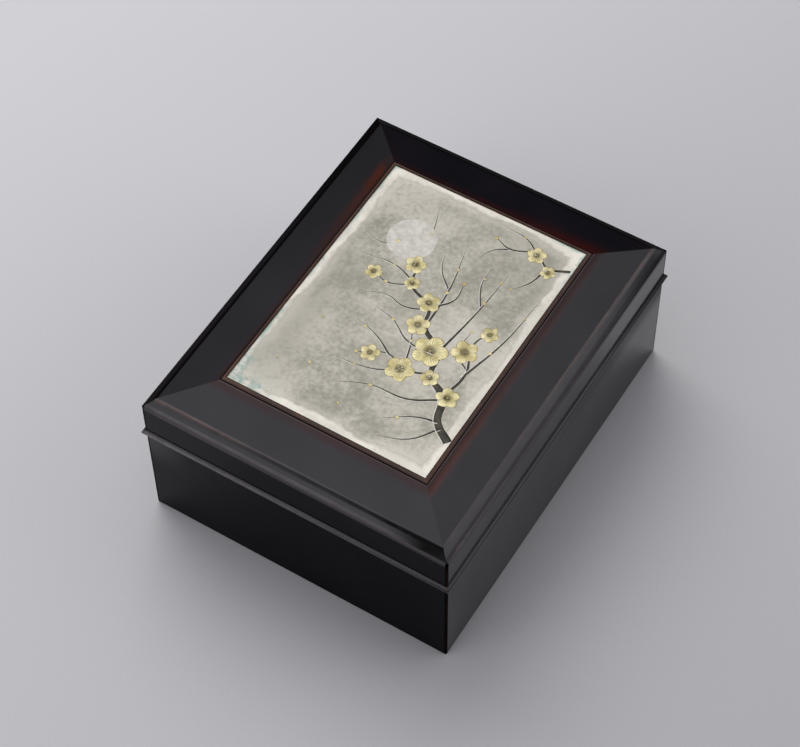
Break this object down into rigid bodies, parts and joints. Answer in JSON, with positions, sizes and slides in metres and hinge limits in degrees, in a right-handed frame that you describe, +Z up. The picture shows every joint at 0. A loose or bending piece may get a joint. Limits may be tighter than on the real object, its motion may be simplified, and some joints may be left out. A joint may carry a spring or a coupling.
{
  "type": "lacquered writing box",
  "caption": "Low rectangular lacquered writing box with a hipped lift-off lid framing a metal plaque, and lift-out trays, inkstone, water dropper and brushes inside.",
  "frame": {"origin": "centre of the box's underside, on the surface it stands on", "axes": "+Z up; +Y along the box's long side, towards its back; +X to the right seen from the front"},
  "size_m": [0.1846, 0.2304, 0.1011],
  "materials": {
    "black_lacquer": "clear lacquer over near-black, polished",
    "inner_lacquer": "dark lacquer with sparse gold sprinkling",
    "brown_lacquer": "worn brown lacquer",
    "plaque_metal": "patinated silver alloy with a pale worn edge",
    "slate": "fine honed slate",
    "dropper_metal": "softly polished, darkened in the corners",
    "gilt_metal": "satin",
    "bamboo": "bare polished bamboo",
    "hair": "dressed goat hair",
    "ink": "dense pressed soot ink",
    "steel": "ground steel",
    "red_wood": "oiled hardwood"
  },
  "bodies": {
    "box": {"body_front_wall": "black_lacquer", "body_right_wall": "black_lacquer", "body_back_wall": "black_lacquer", "body_left_wall": "black_lacquer", "bottom_board": "inner_lacquer", "locating_lip_front": "black_lacquer", "locating_lip_right": "black_lacquer", "locating_lip_back": "black_lacquer", "locating_lip_left": "black_lacquer", "seam_bead_front": "black_lacquer", "seam_bead_right": "black_lacquer", "seam_bead_back": "black_lacquer", "seam_bead_left": "black_lacquer", "board_runner_left": "inner_lacquer", "board_runner_right": "inner_lacquer"},
    "lid": {"lid_front_wall": "black_lacquer", "lid_right_wall": "black_lacquer", "lid_back_wall": "black_lacquer", "lid_left_wall": "black_lacquer", "lid_front_rail": "black_lacquer", "lid_right_rail": "black_lacquer", "lid_back_rail": "black_lacquer", "lid_left_rail": "black_lacquer", "lid_lining": "inner_lacquer", "centre_panel": "black_lacquer", "plaque_moulding_front": "brown_lacquer", "plaque_moulding_right": "brown_lacquer", "plaque_moulding_back": "brown_lacquer", "plaque_moulding_left": "brown_lacquer", "plaque": "plaque_metal"},
    "stone_board": {"inkstone_board": "inner_lacquer"},
    "inkstone": {"inkstone": "slate"},
    "water_dropper": {"dropper_body": "dropper_metal", "dropper_top": "dropper_metal"},
    "left_tray": {"left_tray_floor": "inner_lacquer", "left_tray_left_wall": "inner_lacquer", "left_tray_right_wall": "inner_lacquer", "left_tray_front_wall": "inner_lacquer", "left_tray_back_wall": "inner_lacquer", "left_tray_rests": "inner_lacquer"},
    "right_tray": {"right_tray_floor": "inner_lacquer", "right_tray_left_wall": "inner_lacquer", "right_tray_right_wall": "inner_lacquer", "right_tray_front_wall": "inner_lacquer", "right_tray_back_wall": "inner_lacquer", "right_tray_rests": "inner_lacquer"},
    "large_brush": {"large_brush_shaft": "bamboo", "large_brush_collar": "gilt_metal", "large_brush_hair": "hair"},
    "large_cap": {"large_brush_cap": "bamboo"},
    "small_brush": {"small_brush_shaft": "bamboo", "small_brush_collar": "gilt_metal", "small_brush_hair": "hair"},
    "small_cap": {"small_brush_cap": "bamboo"},
    "ink_stick": {"ink_stick": "ink"},
    "paper_knife": {"knife_handle": "red_wood", "knife_blade": "steel"},
    "awl": {"awl_handle": "red_wood", "awl_needle": "steel"}
  },
  "joints": [
    {"name": "lid_lift", "type": "slide", "parent": "box", "child": "lid", "axis": [0, 0, 1], "range_m": [0, 0.18]},
    {"name": "stone_board_lift", "type": "slide", "parent": "box", "child": "stone_board", "axis": [0, 0, 1], "range_m": [0, 0.045]},
    {"name": "inkstone_lift", "type": "slide", "parent": "stone_board", "child": "inkstone", "axis": [0, 0, 1], "range_m": [0, 0.036]},
    {"name": "water_dropper_lift", "type": "slide", "parent": "stone_board", "child": "water_dropper", "axis": [0, 0, 1], "range_m": [0, 0.036]},
    {"name": "left_tray_lift", "type": "slide", "parent": "stone_board", "child": "left_tray", "axis": [0, 0, 1], "range_m": [0, 0.036]},
    {"name": "right_tray_lift", "type": "slide", "parent": "stone_board", "child": "right_tray", "axis": [0, 0, 1], "range_m": [0, 0.036]},
    {"name": "large_brush_lift", "type": "slide", "parent": "left_tray", "child": "large_brush", "axis": [0, 0, 1], "range_m": [0, 0.036]},
    {"name": "small_brush_lift", "type": "slide", "parent": "left_tray", "child": "small_brush", "axis": [0, 0, 1], "range_m": [0, 0.036]},
    {"name": "ink_stick_lift", "type": "slide", "parent": "right_tray", "child": "ink_stick", "axis": [0, 0, 1], "range_m": [0, 0.036]},
    {"name": "paper_knife_lift", "type": "slide", "parent": "right_tray", "child": "paper_knife", "axis": [0, 0, 1], "range_m": [0, 0.036]},
    {"name": "awl_lift", "type": "slide", "parent": "right_tray", "child": "awl", "axis": [0, 0, 1], "range_m": [0, 0.036]},
    {"name": "large_cap_slide", "type": "slide", "parent": "large_brush", "child": "large_cap", "axis": [0, 1, 0], "range_m": [0, 0.0426]},
    {"name": "small_cap_slide", "type": "slide", "parent": "small_brush", "child": "small_cap", "axis": [0, 1, 0], "range_m": [0, 0.0426]}
  ],
  "couplings": [
    {"joint": "stone_board_lift", "follows": "lid_lift", "ratio": 0.25},
    {"joint": "inkstone_lift", "follows": "lid_lift", "ratio": 0.2},
    {"joint": "water_dropper_lift", "follows": "lid_lift", "ratio": 0.2},
    {"joint": "left_tray_lift", "follows": "lid_lift", "ratio": 0.2},
    {"joint": "right_tray_lift", "follows": "lid_lift", "ratio": 0.2},
    {"joint": "large_brush_lift", "follows": "lid_lift", "ratio": 0.2},
    {"joint": "small_brush_lift", "follows": "lid_lift", "ratio": 0.2},
    {"joint": "ink_stick_lift", "follows": "lid_lift", "ratio": 0.2},
    {"joint": "paper_knife_lift", "follows": "lid_lift", "ratio": 0.2},
    {"joint": "awl_lift", "follows": "lid_lift", "ratio": 0.2}
  ]
}
